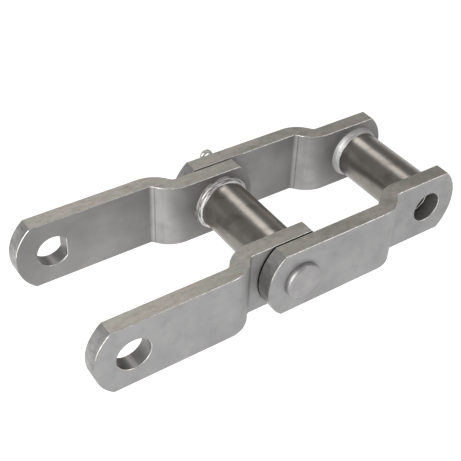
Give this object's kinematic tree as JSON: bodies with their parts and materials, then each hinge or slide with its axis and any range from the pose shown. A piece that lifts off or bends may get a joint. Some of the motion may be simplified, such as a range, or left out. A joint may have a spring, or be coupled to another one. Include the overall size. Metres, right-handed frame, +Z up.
{
  "type": "welded steel conveyor chain section",
  "caption": "Section of cranked welded steel conveyor chain: cranked side plates welded to sleeves, hinged on a headed pin held by a split dowel pin.",
  "frame": {"origin": "middle of the open sleeve of link_2, on its bore's axis and midway between the side plates", "axes": "+X along the straight chain, out of the open sleeve's end; +Y along the pins, from their heads to their split pins; +Z up the height of the side plates"},
  "size_m": [0.2463, 0.1109, 0.0433],
  "materials": {
    "plate_steel": "sheared hot-rolled bar, shot-blasted and bare",
    "sleeve_steel": "turned tube, dark and lightly oiled",
    "weld_metal": "bright fillet bead, as welded",
    "pin_steel": "turned and heat-treated shaft, bare",
    "dowel_wire": "drawn half-round wire, bright"
  },
  "bodies": {
    "link_1": {"link_1_near_plate": "plate_steel", "link_1_far_plate": "plate_steel", "link_1_sleeve": "sleeve_steel", "link_1_near_weld": "weld_metal", "link_1_far_weld": "weld_metal"},
    "link_2": {"link_2_near_plate": "plate_steel", "link_2_far_plate": "plate_steel", "link_2_sleeve": "sleeve_steel", "link_2_near_weld": "weld_metal", "link_2_far_weld": "weld_metal", "pin_shaft": "pin_steel", "dowel_pin": "dowel_wire"}
  },
  "joints": [
    {"name": "pin_hinge", "type": "hinge", "parent": "link_1", "child": "link_2", "pos_m": [-0.1016, 0, 0], "axis": [0, 1, 0], "range_deg": [-107, 107]}
  ]
}
